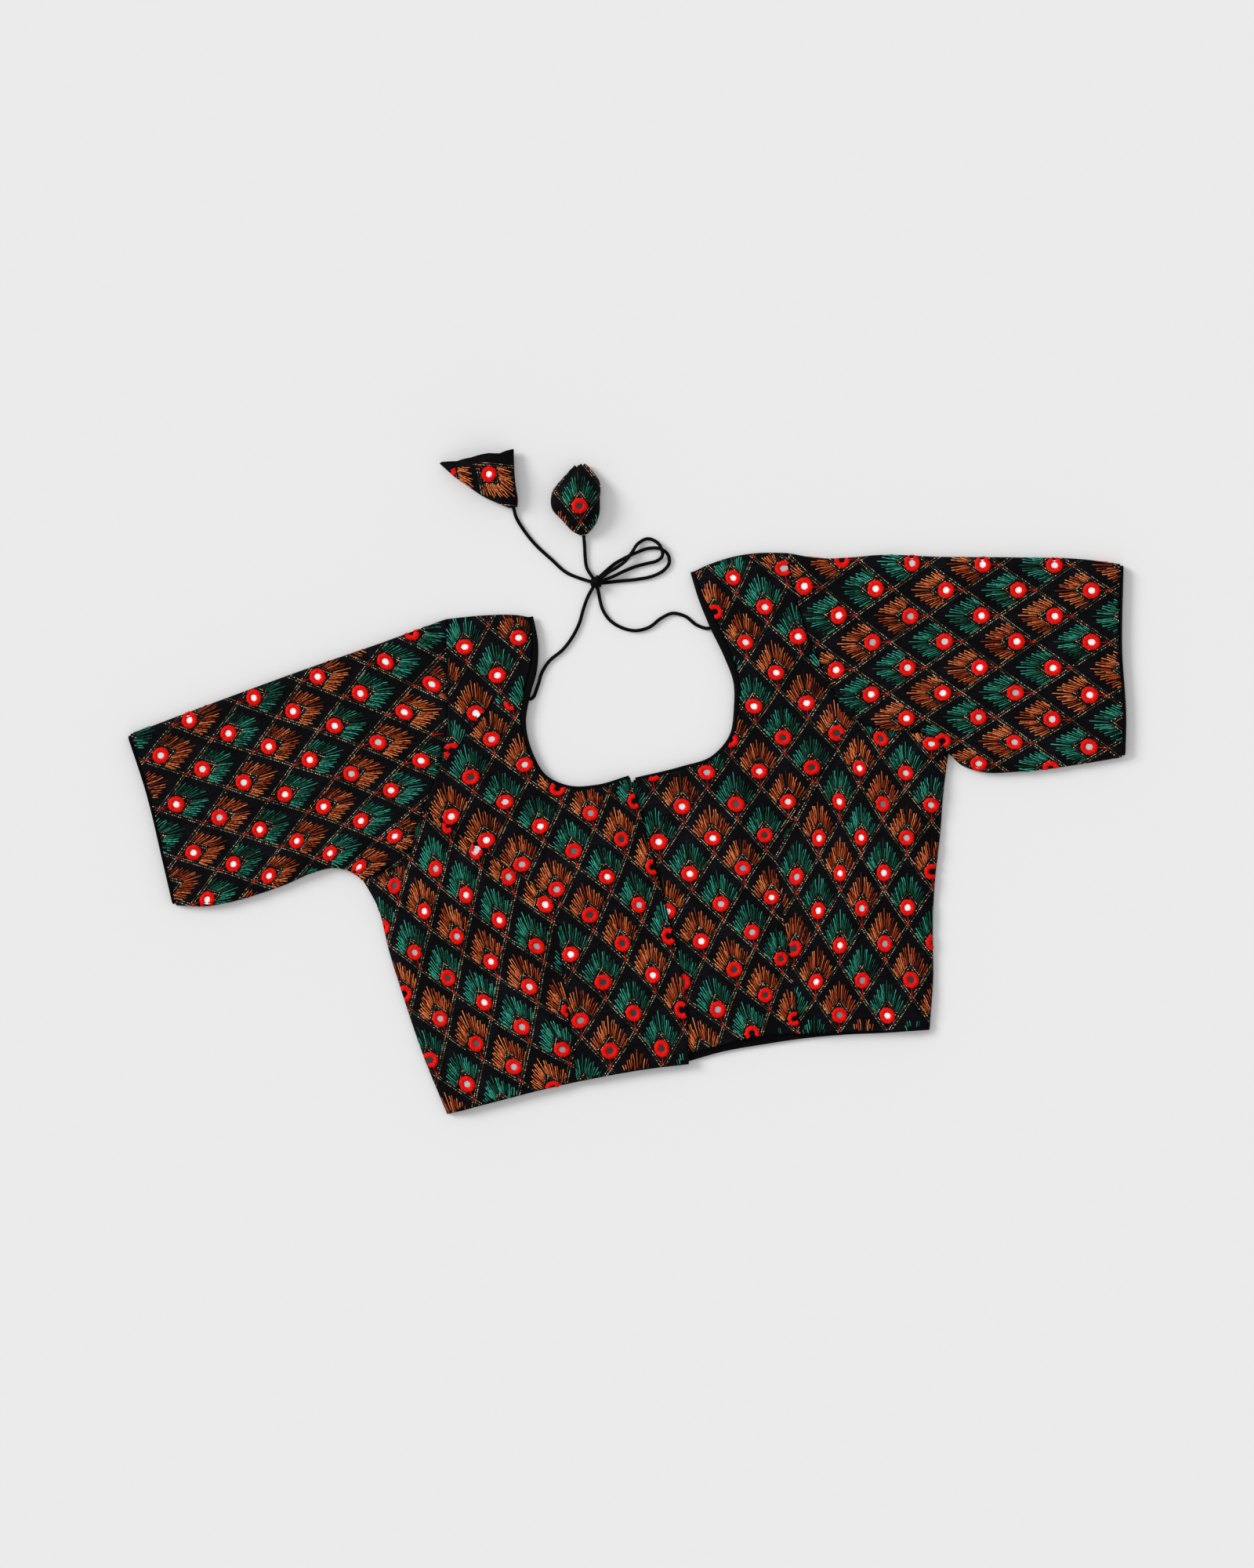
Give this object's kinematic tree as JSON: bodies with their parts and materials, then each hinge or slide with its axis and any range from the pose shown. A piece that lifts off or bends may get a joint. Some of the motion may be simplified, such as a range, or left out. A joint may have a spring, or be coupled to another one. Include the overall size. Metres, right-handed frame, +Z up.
{
  "type": "choli blouse",
  "caption": "Short fitted blouse with elbow sleeves, a lapped front and back ties with cloth tassels, embroidered with mirror work, laid flat.",
  "frame": {"origin": "under the middle of the cloth, on the surface that it lies on; the ties and tassels are not counted", "axes": "+Z up out of the front, +Y towards the neck, +X to the right as seen from above, along the spread sleeves"},
  "size_m": [0.774, 0.4972, 0.0166],
  "materials": {
    "embroidered_silk": "black silk blend covered with orange, green and gold thread and small mirrors",
    "black_binding": "plain black silk binding",
    "black_cord": "piped black cord"
  },
  "bodies": {
    "root": {"back": "embroidered_silk", "front_left": "embroidered_silk", "front_right": "embroidered_silk", "sleeve_left": "embroidered_silk", "sleeve_right": "embroidered_silk", "neck_binding_left": "black_binding", "neck_binding_right": "black_binding", "cuff_binding_left": "black_binding", "cuff_binding_right": "black_binding", "hem_facing": "black_binding", "string_left": "black_cord", "string_right": "black_cord", "tail_left": "black_cord", "tail_upper": "black_cord", "loop_inner": "black_cord", "loop_outer": "black_cord", "bow_knot": "black_cord", "tassel_left": "embroidered_silk", "tassel_right": "embroidered_silk"}
  },
  "joints": []
}
